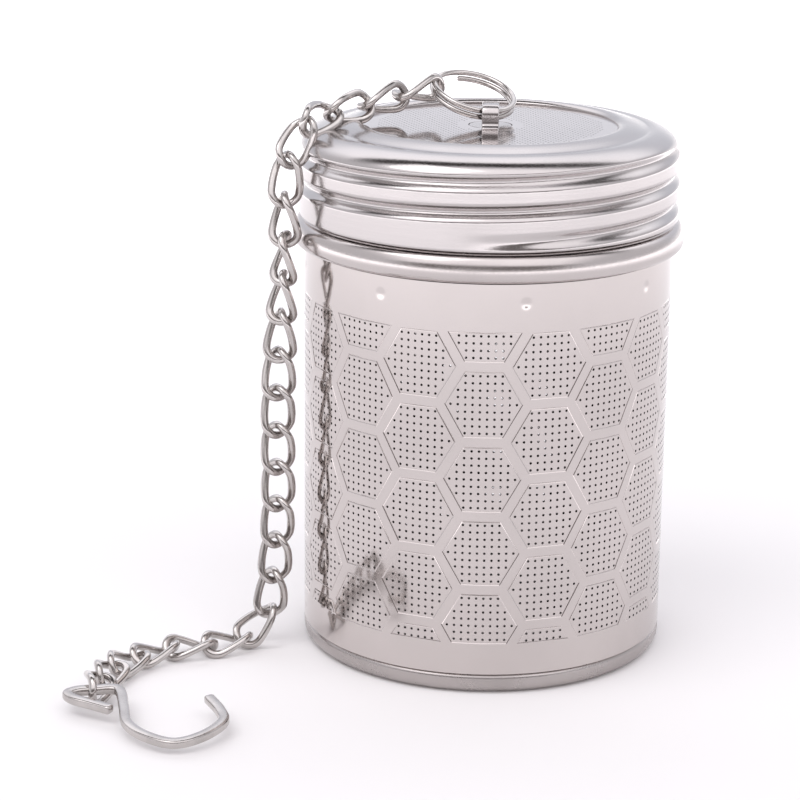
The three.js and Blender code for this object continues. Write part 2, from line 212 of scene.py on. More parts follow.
def grid_quads(rows, columns, closed_rows):
    """Faces of a grid whose columns close on themselves: corner (row, column), then the
    next column, then the next row."""
    row = np.arange(rows if closed_rows else rows - 1)[:, None]
    column = np.arange(columns)[None, :]
    next_row = (row + 1) % rows
    next_column = (column + 1) % columns
    corners = [
        row * columns + column,
        row * columns + next_column,
        next_row * columns + next_column,
        next_row * columns + column,
    ]
    return np.stack(np.broadcast_arrays(*corners), -1).reshape(-1, 4)


def fan(pole, first, columns, forward):
    """Triangles from a pole to a closed row of the grid."""
    here = first + np.arange(columns)
    beside = first + (np.arange(columns) + 1) % columns
    ends = (here, beside) if forward else (beside, here)
    return np.stack([np.full(columns, pole), *ends], -1)


def surface(rows, start_pole=None, end_pole=None, closed_rows=False):
    """Points and faces of a grid of shape (rows, columns, 3) whose columns close, with a
    point that closes each open end."""
    count, columns = rows.shape[:2]
    points = [rows.reshape(-1, 3)]
    triangles = []
    total = count * columns
    if start_pole is not None:
        points.append(np.reshape(start_pole, (1, 3)))
        triangles.append(fan(total, 0, columns, False))
        total += 1
    if end_pole is not None:
        points.append(np.reshape(end_pole, (1, 3)))
        triangles.append(fan(total, (count - 1) * columns, columns, True))
    triangles = np.concatenate(triangles) if triangles else np.zeros((0, 3), int)
    return np.concatenate(points), triangles, grid_quads(count, columns, closed_rows)


def joined(*parts):
    """Several (points, triangles, quads) put into one."""
    shift = np.cumsum([0] + [len(points) for points, _, _ in parts])
    return (
        np.concatenate([points for points, _, _ in parts]),
        np.concatenate([part[1] + step for part, step in zip(parts, shift)]),
        np.concatenate([part[2] + step for part, step in zip(parts, shift)]),
    )


def smooth_line(stations, steps):
    """Centripetal Catmull-Rom curve through the stations, in `steps` stretches between
    two of them. Each point blends its four nearest stations by the square root of the
    distances between them."""
    stations = np.asarray(stations, float)
    before = 2 * stations[0] - stations[1]
    after = 2 * stations[-1] - stations[-2]
    knots = np.vstack([before, stations, after])
    a, b, c, d = knots[:-3, None], knots[1:-2, None], knots[2:-1, None], knots[3:, None]

    def gap(p, q):
        return np.sqrt(np.linalg.norm(q - p, axis=-1, keepdims=True))

    share = (np.arange(steps) / steps)[None, :, None]
    t0 = 0.0
    t1 = t0 + gap(a, b)
    t2 = t1 + gap(b, c)
    t3 = t2 + gap(c, d)
    t = t1 + (t2 - t1) * share
    ab = (a * (t1 - t) + b * (t - t0)) / (t1 - t0)
    bc = (b * (t2 - t) + c * (t - t1)) / (t2 - t1)
    cd = (c * (t3 - t) + d * (t - t2)) / (t3 - t2)
    abc = (ab * (t2 - t) + bc * (t - t0)) / (t2 - t0)
    bcd = (bc * (t3 - t) + cd * (t - t1)) / (t3 - t1)
    curve = (abc * (t2 - t) + bcd * (t - t1)) / (t2 - t1)
    return np.vstack([curve.reshape(-1, stations.shape[1]), stations[-1:]])


def straight(start, end, steps):
    return np.linspace(start, end, steps + 1)


def side_of(line):
    """Unit vectors square to a flat line, on its right-hand side."""
    along = np.gradient(line, axis=0)
    along /= np.linalg.norm(along, axis=1, keepdims=True)
    return np.stack([along[:, 1], -along[:, 0]], -1)


def sheet_profile(line, thickness, from_axis=False, cap_steps=5):
    """Outline of a sheet of even thickness along a [radius, height] line: its right-hand
    side, a half round at the end, the left-hand side back, and a half round at the
    start, or a start on the axis."""
    half = thickness / 2
    side = side_of(line)
    turn = np.linspace(0, math.pi, cap_steps + 2)[1:-1, None]
    ahead = np.stack([-side[:, 1], side[:, 0]], -1)
    end_cap = line[-1] + half * (np.cos(turn) * side[-1] + np.sin(turn) * ahead[-1])
    start_cap = line[0] - half * (np.cos(turn) * side[0] + np.sin(turn) * ahead[0])
    there = line + half * side
    back = (line - half * side)[::-1]
    rounds = [there, end_cap, back] if from_axis else [there, end_cap, back, start_cap]
    return np.vstack(rounds)


def turned_rows(profile, columns, roll=None, bearing=None):
    """Grid of a profile turned about the Z axis. Column angles are bearings from the
    front, counter-clockwise seen from above: x = r sin(bearing), y = -r cos(bearing).
    `roll` gives how far each point is pulled in, from its bearing and height."""
    if bearing is None:
        bearing = np.arange(columns) * TURN / columns
    bearing = bearing[None, :]
    radius = profile[:, :1] + 0 * bearing
    height = profile[:, 1:] + 0 * bearing
    if roll is not None:
        radius = radius - roll(np.degrees(bearing), height, radius)
    return np.stack([radius * np.sin(bearing), -radius * np.cos(bearing), height], -1)


def swept_rows(path, upright, section, scale=None):
    """Grid of a closed section carried along a path. The section's first axis is square
    to the path and to `upright`, and its second is as near to `upright` as the path
    lets it be."""
    along = np.gradient(path, axis=0)
    along /= np.linalg.norm(along, axis=1, keepdims=True)
    side = np.cross(upright, along)
    side /= np.linalg.norm(side, axis=1, keepdims=True)
    up = np.cross(along, side)
    scale = np.ones(len(path)) if scale is None else scale
    across = section[None, :, :1] * side[:, None]
    upward = section[None, :, 1:] * up[:, None]
    return path[:, None] + (across + upward) * scale[:, None, None]


def circle(radius, count):
    """Points at even steps round a circle, counter-clockwise."""
    angle = np.arange(count) * TURN / count
    return radius * np.stack([np.cos(angle), np.sin(angle)], -1)


def soft_box_section(half_width, half_height, power, sides):
    """Superellipse: a box whose corners are rounder the lower the power."""
    angle = np.arange(sides) * TURN / sides
    c, s = np.cos(angle), np.sin(angle)
    width = half_width * np.sign(c) * np.abs(c) ** (2 / power)
    height = half_height * np.sign(s) * np.abs(s) ** (2 / power)
    return np.stack([width, height], -1)


def with_round_ends(path, reach, steps=5):
    """The path, longer by `reach` at each end, and the share of the full section at each
    of its points, which shrinks over the added lengths as a ball does."""
    turn = np.linspace(0, math.pi / 2, steps + 1)[1:]
    first = (path[0] - path[1]) / np.linalg.norm(path[0] - path[1])
    last = (path[-1] - path[-2]) / np.linalg.norm(path[-1] - path[-2])
    before = path[0] + first * (reach * np.sin(turn))[::-1, None]
    after = path[-1] + last * (reach * np.sin(turn))[:, None]
    small = np.maximum(np.cos(turn), 0.04)
    scale = np.concatenate([small[::-1], np.ones(len(path)), small])
    return np.vstack([before, path, after]), scale


# ---- perforated sheet ---------------------------------------------------------------


def six_sides(centres, radius):
    """Corners of a six-sided hole at each centre: shape (holes, 6, 2)."""
    angle = np.arange(6) * TURN / 6 + TURN / 12
    corners = radius * np.stack([np.cos(angle), np.sin(angle)], -1)
    return centres[:, None] + corners[None]


def loop_edges(first, count):
    here = first + np.arange(count)
    return np.stack([here, first + (np.arange(count) + 1) % count], -1)


def punched_plane(loops, holes, hole_radius):
    """Flat triangles that fill the outermost of the closed loops, follow all the others,
    and leave the holes open. Returns 2-D points and triangles, counter-clockwise."""
    rings = list(loops) + list(six_sides(holes, hole_radius))
    counts = [len(ring) for ring in rings]
    firsts = np.concatenate([[0], np.cumsum(counts)[:-1]])
    flat = np.concatenate(rings)
    edges = np.concatenate([loop_edges(f, c) for f, c in zip(firsts, counts)])
    made = delaunay_2d_cdt(
        [Vector(p) for p in flat.tolist()], edges.tolist(), [], 0, 1e-6
    )
    points = np.array([tuple(p) for p in made[0]])
    triangles = np.array(made[2])
    a, b, c = points[triangles].transpose(1, 0, 2)
    middle = (a + b + c) / 3
    kept = np.ones(len(triangles), bool)
    for part in np.array_split(np.arange(len(triangles)), 1 + len(triangles) // 2000):
        gap = np.linalg.norm(middle[part, None] - holes[None], axis=-1).min(1)
        kept[part] = gap > hole_radius * 0.8
    twice_area = np.cross(b - a, c - a)
    kept &= np.abs(twice_area) > 1e-9
    triangles = np.where((twice_area < 0)[:, None], triangles[:, ::-1], triangles)
    return points, triangles[kept], middle[kept]


def border_edges(triangles):
    """Directed edges that only one triangle has."""
    directed = triangles[:, [0, 1, 1, 2, 2, 0]].reshape(-1, 2)
    size = int(directed.max()) + 1
    key = directed[:, 0] * size + directed[:, 1]
    opposite = directed[:, 1] * size + directed[:, 0]
    return directed[~np.isin(key, opposite)]


def thickened(outer, inner, triangles):
    """Closed sheet between two copies of the same triangles: outer side, inner side
    turned over, and a wall along every free edge."""
    count = len(outer)
    edges = border_edges(triangles)
    walls = np.stack([edges[:, 1], edges[:, 0], edges[:, 0] + count, edges[:, 1] + count], -1)
    both = np.concatenate([triangles, triangles[:, ::-1] + count])
    return np.concatenate([outer, inner]), both, walls


def hexagon(middle, inradius):
    """Flat-topped hexagon."""
    return np.asarray(middle) + circle(inradius * 2 / math.sqrt(3), 6)


def clipped(polygon, axis, limit, keep_below):
    """Part of a convex polygon on one side of a line along an axis."""
    sign = 1 if keep_below else -1
    inside = sign * (polygon[:, axis] - limit) <= 1e-9
    made = []
    for k, point in enumerate(polygon):
        other = (k + 1) % len(polygon)
        if inside[k]:
            made.append(point)
        if inside[k] != inside[other]:
            share = (limit - point[axis]) / (polygon[other][axis] - point[axis])
            made.append(point + share * (polygon[other] - point))
    return np.array(made)


def panel_middles():
    """Centres of the hexagon panels of one repeat, which runs from the middle of one
    even column to the middle of the next."""
    step = BODY_RADIUS * TURN / HEX_COLUMNS
    even = HEX_EVEN_FIRST - HEX_PITCH * np.arange(5)
    odd = HEX_ODD_FIRST - HEX_PITCH * np.arange(1, 6)
    columns = [(0.0, even), (step, odd), (2 * step, even)]
    return np.array([(x, z) for x, heights in columns for z in heights])


def panel_holes(middles, field, width):
    """Centres of the punched holes inside the field and the repeat."""
    rows = len(HOLES_IN_ROWS)
    pattern = [
        ((column - (count - 1) / 2) * HOLE_ACROSS, (rows // 2 - row) * HOLE_DOWN)
        for row, count in enumerate(HOLES_IN_ROWS)
        for column in range(count)
    ]
    holes = (middles[:, None] + np.array(pattern)[None]).reshape(-1, 2)
    low, high = field
    inside = (holes[:, 0] > 0) & (holes[:, 0] < width)
    inside &= (holes[:, 1] > low) & (holes[:, 1] < high)
    return holes[inside]


def depth_in_panels(points, middles, inradius, field):
    """How far each point is inside its nearest panel, negative outside all of them."""
    angle = np.arange(3) * TURN / 6 + TURN / 12
    across = np.stack([np.cos(angle), np.sin(angle)], -1)
    reach = np.abs((points[:, None] - middles[None]) @ across.T).max(-1).min(1)
    low, high = field
    return np.minimum.reduce([inradius - reach, points[:, 1] - low, high - points[:, 1]])


def tube_sheet(settings):
    """One repeat of the unrolled sheet, wrapped round the can as many times as it needs
    and given its wall. The panels are pressed in by a small step along their outline.
    Returns points, triangles, quads and a normal for each face corner."""
    step = BODY_RADIUS * TURN / HEX_COLUMNS
    width = 2 * step
    repeats = HEX_COLUMNS // 2
    field = (HEX_FIELD_LOW, HEX_FIELD_HIGH)
    middles = panel_middles()
    outer_reach = (HEX_PITCH - settings.panel_gap) / 2
    groove = settings.panel_groove
    holes = panel_holes(middles, (field[0] + HOLE_MARGIN, field[1] - HOLE_MARGIN), width)
    loops = [sheet_border(width)]
    for inset in (0.0, groove / 2, groove):
        for middle in middles:
            panel = hexagon(middle, outer_reach - inset)
            panel = clipped(panel, 1, field[1] - inset, True)
            panel = clipped(panel, 1, field[0] + inset, False)
            panel = clipped(panel, 0, width, True)
            panel = clipped(panel, 0, 0.0, False)
            if len(panel) > 2:
                loops.append(panel)
    radius = settings.hole_diameter / 2 / MM
    flat, triangles, _ = punched_plane(loops, holes, radius)
    return wrap_sheet(flat, triangles, middles, outer_reach, groove, settings, repeats)


def sheet_border(width):
    """Border of one repeat, with points close enough together to follow the curve."""
    across = np.linspace(0, width, 25)
    up = np.linspace(FIELD_SHEET_LOW + 0.4, FIELD_SHEET_HIGH - 0.4, 45)
    bottom = np.stack([across, np.full(25, FIELD_SHEET_LOW)], -1)
    right = np.stack([np.full(45, width), up], -1)
    top = np.stack([across[::-1], np.full(25, FIELD_SHEET_HIGH)], -1)
    left = np.stack([np.zeros(45), up[::-1]], -1)
    return np.vstack([bottom, right, top, left])


def wrap_sheet(flat, triangles, middles, reach, groove, settings, repeats):
    """Carries the flat repeat round the can: bearing = x / radius, height = z, and the
    radius smaller in the groove round each panel and by a little inside it."""
    inside = depth_in_panels(flat, middles, reach, (HEX_FIELD_LOW, HEX_FIELD_HIGH))
    share = np.clip(inside / groove, 0, 1)
    valley = 1 - np.abs(2 * share - 1)
    sink = settings.groove_depth / MM * valley + settings.panel_depth / MM * share
    width = 2 * BODY_RADIUS * TURN / HEX_COLUMNS
    turn = np.arange(repeats)[:, None] * width
    bearing = ((flat[:, 0] + turn) / BODY_RADIUS).ravel()
    height = np.tile(flat[:, 1], repeats)
    sink = np.tile(sink, repeats)
    steps = np.arange(repeats)[:, None, None] * len(flat)
    faces = (triangles[None] + steps).reshape(-1, 3)
    key = np.round(np.stack([bearing % TURN * BODY_RADIUS, height], -1), 4)
    key[:, 0] = np.where(key[:, 0] > TURN * BODY_RADIUS - 0.001, 0.0, key[:, 0])
    _, first, same = np.unique(key, axis=0, return_index=True, return_inverse=True)
    faces = same.ravel()[faces]
    bearing, height, sink = bearing[first], height[first], sink[first]
    outward = np.stack([np.sin(bearing), -np.cos(bearing), 0 * bearing], -1)
    up = np.array([0, 0, 1.0]) * height[:, None]
    outer = outward * (BODY_RADIUS - sink)[:, None] + up
    inner = outward * (BODY_RADIUS - TUBE_WALL - sink)[:, None] + up
    points, both, walls = thickened(outer, inner, faces)
    normals = sheet_normals(points, both, walls, outward, sink, len(faces))
    return points, both, walls, normals


def flat_normals(points, faces):
    a, b, c = points[faces[:, 0]], points[faces[:, 1]], points[faces[:, 2]]
    normal = np.cross(b - a, c - a)
    return normal / np.maximum(np.linalg.norm(normal, axis=1, keepdims=True), 1e-12)


def sheet_normals(points, both, walls, outward, sink, outer_count):
    """Normals of the face corners: straight out or in on the sheet, and each face's own
    on the steps round the panels and on the walls of the holes."""
    full = np.concatenate([outward, -outward])
    corners = full[both]
    turned = np.concatenate([sink, sink])[both]
    sloped = np.ptp(turned, axis=1) > 1e-6
    corners[sloped] = flat_normals(points, both[sloped])[:, None]
    wall = np.repeat(flat_normals(points, walls)[:, None], 4, 1)
    return np.concatenate([corners.reshape(-1, 3), wall.reshape(-1, 3)])


# ---- shapes of the pieces -----------------------------------------------------------


def groove_depth(bearing, height, half_width, last):
    """Depth of the rolled screw groove: a raised cosine across a right-handed helix that
    climbs by one lead in each turn and fades out at both ends."""
    deepest = 0 * height + 0 * bearing

    def fade(distance):
        share = np.clip((distance + THREAD_FADE) / (2 * THREAD_FADE), 0, 1)
        return share * share * (3 - 2 * share)

    for turn in range(-2, 4):
        along = bearing + 360 * turn
        middle = THREAD_FRONT + THREAD_LEAD * along / 360
        offset = np.clip(np.abs(height - middle) / half_width, 0, 1)
        section = 0.5 + 0.5 * np.cos(math.pi * offset)
        strength = fade(along - THREAD_FIRST) * fade(last - along)
        deepest = np.maximum(deepest, THREAD_DEPTH * section * strength)
    return deepest


def band_shape(low, high, welds):
    """Plain band of the can's sheet with a shallow round dent at each spot weld. A dent
    is a raised cosine of the distance from its middle. Columns are closer near it."""
    even = np.arange(BAND_COLUMNS) * TURN / BAND_COLUMNS
    close = np.radians(np.linspace(-2.6, 2.6, 19))
    bearing = np.concatenate([even, *(math.radians(at) + close for at, _ in welds)])
    bearing = np.unique(np.round(bearing % TURN, 6))
    steps = int((high - low) / 0.14)
    wall = straight((BODY_RADIUS, low), (BODY_RADIUS, high), steps)
    inside = (wall - (TUBE_WALL, 0))[::-1]

    def roll(degrees, height, radius):
        depth = 0 * height + 0 * degrees
        for at, weld_height in welds:
            turned = (degrees - at + 180) % 360 - 180
            gap = np.hypot(np.radians(turned) * BODY_RADIUS, height - weld_height)
            dent = 0.5 + 0.5 * np.cos(math.pi * np.clip(gap / WELD_RADIUS, 0, 1))
            depth = np.maximum(depth, WELD_DEPTH * dent)
        return depth

    rows = turned_rows(np.vstack([wall, inside]), len(bearing), roll, bearing)
    return surface(rows, closed_rows=True)


def base_shape():
    """Pressed cup: a floor, a rounded corner, a short wall flush with the can and a
    skirt that steps in to sit inside it."""
    half = BASE_SHEET / 2
    wall = BODY_RADIUS - half
    skirt = SKIRT_RADIUS - half
    turn = np.linspace(-math.pi / 2, 0, 9)[:, None]
    bend = BASE_CORNER - half
    middle = np.array([[wall - bend, BASE_CORNER]])
    corner = middle + bend * np.hstack([np.cos(turn), np.sin(turn)])
    line = np.vstack([
        straight((0, half), (wall - bend, half), 16)[:-1],
        corner,
        smooth_line([(wall, 1.72), (wall - 0.05, 1.9), (skirt + 0.05, 2.12), (skirt, 2.3)], 3),
        straight((skirt, 2.6), (skirt, BASE_SKIRT_TOP - half), 3),
    ])
    profile = sheet_profile(line, BASE_SHEET, from_axis=True)
    rows = turned_rows(profile[1:-1], BASE_COLUMNS)
    return surface(rows, (0, 0, profile[0][1]), (0, 0, profile[-1][1]))


def collar_shape():
    """Rolled collar: a skirt inside the can, a bead that stands out over its rim, and a
    neck with the screw thread rolled into it."""
    half = SHEET / 2
    skirt = SKIRT_RADIUS - half
    neck = NECK_RADIUS - half
    out = BEAD_RADIUS - half
    bead = [
        (skirt, BEAD_BOTTOM - 0.9), (skirt + 0.03, BEAD_BOTTOM - 0.1),
        (skirt + 0.55, BEAD_BOTTOM + half + 0.06), (out - 0.58, BEAD_BOTTOM + half + 0.12),
        (out - 0.16, BEAD_BOTTOM + 0.58), (out, BEAD_BOTTOM + 1.15), (out - 0.03, BEAD_TOP - 1.55),
        (out - 0.17, BEAD_TOP - 1.05), (out - 0.45, BEAD_TOP - 0.62), (out - 0.9, BEAD_TOP - 0.36),
        (neck + 0.28, BEAD_TOP - half), (neck + 0.03, BEAD_TOP + 0.16), (neck, BEAD_TOP + 0.6),
    ]
    line = np.vstack([
        straight((skirt, COLLAR_SKIRT_BOTTOM + half), (skirt, BEAD_BOTTOM - 1.2), 4),
        smooth_line(bead, 4),
        straight((neck, BEAD_TOP + 0.75), (neck, NECK_TOP - half), 52),
    ])

    def roll(bearing, height, radius):
        wide = THREAD_HALF_WIDTH + THREAD_CLEARANCE
        depth = groove_depth(bearing, height, wide, THREAD_LAST + 360)
        return np.where(height > BEAD_TOP + 0.4, depth, 0.0)

    rows = turned_rows(sheet_profile(line, SHEET), COLLAR_COLUMNS, roll)
    return surface(rows, closed_rows=True)


def lid_shape():
    """Drawn cap: a threaded wall, a rounded shoulder, and a lip that rolls over the
    disc."""
    wall = straight((LID_RADIUS, LID_BOTTOM + 0.2), (LID_RADIUS, LID_SHOULDER), 66)
    turn = np.radians(np.linspace(0, 80, 29))[:, None]
    middle = np.array([(LID_RADIUS - SHOULDER_REACH, LID_SHOULDER)])
    round_part = middle + np.hstack([SHOULDER_REACH * np.cos(turn), SHOULDER_RISE * np.sin(turn)])
    lip = [
        round_part[-1], (17.85, 59.47), (17.5, 59.45), (17.25, 59.49), (16.9, 59.59),
        (16.3, 59.77), (15.6, 59.93), (15.0, 60.0), (14.5, 59.93), (14.2, 59.74),
    ]
    outer = np.vstack([wall[:-1], round_part[:-1], smooth_line(lip, 5)])
    line = outer - side_of(outer) * SHEET / 2

    def roll(bearing, height, radius):
        depth = groove_depth(bearing, height, THREAD_HALF_WIDTH, THREAD_LAST)
        room = np.clip((height - LID_BOTTOM - 0.1) / 0.3, 0, 1)
        return np.where(radius > LID_RADIUS - 1, depth * room, 0.0)

    rows = turned_rows(sheet_profile(line, SHEET), LID_COLUMNS, roll)
    return surface(rows, closed_rows=True)


def screen_shape(settings):
    """Flat disc with a round hole for the bail's foot and a field of very fine punched
    holes on a square grid."""
    pitch = settings.screen_pitch / MM
    reach = settings.screen_reach / MM
    line = (np.arange(-60, 61) + 0.5) * pitch
    grid = np.stack(np.meshgrid(line, line), -1).reshape(-1, 2)
    c, s = math.cos(SCREEN_TURN), math.sin(SCREEN_TURN)
    grid = grid @ np.array([(c, s), (-s, c)])
    distance = np.linalg.norm(grid, axis=1)
    holes = grid[(distance < reach) & (distance > BAIL_FLANGE_RADIUS + HOLE_MARGIN)]
    foot = BAIL_FOOT_RADIUS + SWIVEL_GAP
    loops = [circle(DISC_RADIUS, 96), circle(foot, 48), circle(SCREEN_MARGIN, 96)]
    flat, triangles, middle = punched_plane(loops, holes, settings.screen_hole / 2 / MM)
    triangles = triangles[np.linalg.norm(middle, axis=1) > foot]
    outer = np.column_stack([flat, np.full(len(flat), DISC_TOP)])
    inner = np.column_stack([flat, np.full(len(flat), DISC_TOP - SHEET)])
    used = np.unique(triangles)
    place = np.zeros(len(flat), int)
    place[used] = np.arange(len(used))
    return thickened(outer[used], inner[used], place[triangles])


def bail_shape():
    """Flat strap bent into an arch, on a round foot that turns in the disc like a
    rivet."""
    half_span = BAIL_HALF_SPAN
    top = DISC_TOP + BAIL_RISE
    bend = BAIL_BEND
    turn = np.linspace(0, math.pi / 2, 9)[:, None]
    centre = np.array([[half_span - bend, top - bend]])
    right = centre + bend * np.hstack([np.cos(turn), np.sin(turn)])
    flare = [(half_span + 0.55, DISC_TOP - 0.12), (half_span + 0.16, DISC_TOP + 0.2),
             (half_span + 0.03, DISC_TOP + 0.6), (half_span, DISC_TOP + 1.0)]
    half = np.vstack([smooth_line(flare, 5), right])
    other = half[::-1] * (-1, 1)
    flat = np.vstack([half, other])
    path = np.column_stack([np.zeros(len(flat)), flat])
    section = soft_box_section(BAIL_HALF_THICKNESS, BAIL_HALF_WIDTH, 5.0, 24)
    path, scale = with_round_ends(path, 0.2)
    rows = swept_rows(path, np.array([1.0, 0, 0]), section, scale)
    strap = surface(rows, path[0], path[-1])
    under = DISC_TOP - SHEET - 0.15
    foot = np.array([
        (0, under - 0.45), (BAIL_FLANGE_RADIUS - 0.1, under - 0.45),
        (BAIL_FLANGE_RADIUS, under - 0.35), (BAIL_FLANGE_RADIUS, under - 0.1),
        (BAIL_FLANGE_RADIUS - 0.1, under), (BAIL_FOOT_RADIUS, under),
        (BAIL_FOOT_RADIUS, DISC_TOP - 0.08), (BAIL_FOOT_RADIUS - 0.08, DISC_TOP), (0, DISC_TOP),
    ])
    rows = turned_rows(foot[1:-1], FOOT_COLUMNS)
    rivet = surface(rows, (0, 0, foot[0][1]), (0, 0, foot[-1][1]))
    return joined(strap, rivet)


def ring_shape():
    """Two close turns of round wire: a helix of small pitch about an axis that leans."""
    share = np.linspace(0, 1, RING_STEPS)
    angle = RING_END - TURN * RING_TURNS * share
    rise = RING_COIL * RING_TURNS * (share - 0.5)
    flat = np.stack([RING_RADIUS * np.cos(angle), RING_RADIUS * np.sin(angle), rise], -1)
    lean = math.sin(RING_TILT)
    normal = Vector((
        lean * math.cos(RING_TILT_BEARING),
        lean * math.sin(RING_TILT_BEARING),
        math.cos(RING_TILT),
    ))
    turn = np.array(Vector((0, 0, 1)).rotation_difference(normal).to_matrix())
    path, scale = with_round_ends(flat @ turn.T + RING_CENTRE, 0.2)
    section = circle(RING_WIRE / 2, RING_SIDES)
    return surface(swept_rows(path, np.array(normal), section, scale), path[0], path[-1])


def slot_line(count):
    """Centreline of a flat link: a slot with round ends, walked at even steps."""
    run = LINK_HALF_LENGTH - LINK_HALF_WIDTH
    arc = math.pi * LINK_HALF_WIDTH
    whole = 2 * arc + 4 * run
    along = np.arange(count) / count * whole
    near = along % (whole / 2)
    side = np.where(along < whole / 2, 1.0, -1.0)
    quarter = arc / 2
    angle = np.where(near < quarter, near, np.maximum(near - 2 * run, quarter))
    angle = angle / LINK_HALF_WIDTH
    centre = np.clip(run - (near - quarter), -run, run)
    x = side * (centre + LINK_HALF_WIDTH * np.cos(angle))
    y = side * LINK_HALF_WIDTH * np.sin(angle)
    return np.stack([x, y, 0 * x], -1)


def link_shape():
    """One link about its own middle: round wire along the slot, then wrung about its
    long axis in proportion to the distance from the middle."""
    path = slot_line(LINK_STEPS)
    around = np.vstack([path[-1:], path, path[:1]])
    section = circle(LINK_WIRE / 2, WIRE_SIDES)
    rows = swept_rows(around, np.array([0, 0, 1.0]), section)[1:-1]
    points, triangles, quads = surface(rows, closed_rows=True)
    twist = -LINK_TWIST * points[:, 0] / (2 * LINK_HALF_LENGTH)
    c, s = np.cos(twist), np.sin(twist)
    y, z = points[:, 1], points[:, 2]
    return np.stack([points[:, 0], c * y - s * z, s * y + c * z], -1), triangles, quads


def faced_forward(width, along, k):
    """The width direction, turned about the link towards the one that shows the link's
    face to the front, by a share that changes along the chain."""
    share = float(np.interp(k, FACED_LINKS, FACED_SHARES))
    front = np.cross(along, (0, -1.0, 0))
    front *= np.sign(front @ width) / np.linalg.norm(front)
    made = width + share * (front - width)
    return made / np.linalg.norm(made)


def link_places():
    """Middle, direction and width direction of each link, from its joint, the next one
    and the way its own solid is wrung."""
    names = [f"link_{k:02d}_swing" for k in range(1, LINK_COUNT + 1)] + ["hook_swing"]
    joints = np.array([JOINTS[name]["pos_m"] for name in names]) / MM
    places = []
    for k in range(LINK_COUNT):
        along = joints[k + 1] - joints[k]
        along /= np.linalg.norm(along)
        middle = (joints[k] + joints[k + 1]) / 2
        node = frame["nodes"][f"chain_link_{k + 1:02d}"]
        solid = np.zeros(len(node.data.vertices) * 3, np.float32)
        node.data.vertices.foreach_get("co", solid)
        solid = solid.reshape(-1, 3) / MM - middle
        across = np.cross(along, (0, 0, 1.0))
        if np.linalg.norm(across) < 0.1:
            across = np.cross(along, (0, 1.0, 0))
        across /= np.linalg.norm(across)
        up = np.cross(along, across)
        x, y, z = solid @ along, solid @ across, solid @ up
        twist = -LINK_TWIST * x / (2 * LINK_HALF_LENGTH)
        angle = np.arctan2(z, y) - twist
        near = np.abs(x) < 1
        turn = 0.5 * np.angle(np.sum((y * y + z * z) * np.exp(2j * angle), where=near))
        width = math.cos(turn) * across + math.sin(turn) * up
        width = faced_forward(width, along, k)
        places.append((middle, along, width))
    return places


def hook_shape():
    """Flat-sided wire along the hook's outline, in a plane that leans a little and is
    turned to follow the last link."""
    flat = smooth_line(HOOK_OUTLINE, 10)
    path = np.column_stack([flat, np.zeros(len(flat))])
    section = soft_box_section(HOOK_WIDTH / 2, HOOK_THICKNESS / 2, 3.6, 20)
    path, scale = with_round_ends(path, 0.35)
    points, triangles, quads = surface(
        swept_rows(path, np.array([0, 0, 1.0]), section, scale), path[0], path[-1]
    )
    end = Vector(JOINTS["hook_swing"]["pos_m"]) / MM
    along = (end - Vector(JOINTS[f"link_{LINK_COUNT}_swing"]["pos_m"]) / MM).normalized()
    yaw = math.atan2(along.x, -along.y)
    turn = Matrix.Rotation(yaw, 3, "Z") @ Matrix.Rotation(HOOK_TILT, 3, "X")
    middle = end - along * HOOK_REACH
    return points @ np.array(turn).T + np.array(middle), triangles, quads


# ---- finishes -----------------------------------------------------------------------


def socket(tree, name, way, kind, default=None):
    made = tree.interface.new_socket(name=name, in_out=way, socket_type=kind)
    if default is not None:
        made.default_value = default
    return made


def node(tree, kind, inputs=(), **values):
    made = tree.nodes.new(kind)
    for name, value in values.items():
        setattr(made, name, value)
    for name, value in dict(inputs).items():
        if isinstance(value, bpy.types.NodeSocket):
            tree.links.new(value, made.inputs[name])
        else:
            made.inputs[name].default_value = value
    return made


def reckon(tree, operation, *values):
    """Output of a math node with the given inputs."""
    made = node(tree, "ShaderNodeMath", dict(enumerate(values)), operation=operation)
    return made.outputs[0]


def group_tree(name, inputs, outputs):
    """Empty node group with its input and output nodes."""
    tree = bpy.data.node_groups.new(name, "ShaderNodeTree")
    for label, kind, default in inputs:
        socket(tree, label, "INPUT", kind, default)
    for label, kind in outputs:
        socket(tree, label, "OUTPUT", kind)
    return tree, tree.nodes.new("NodeGroupInput"), tree.nodes.new("NodeGroupOutput")


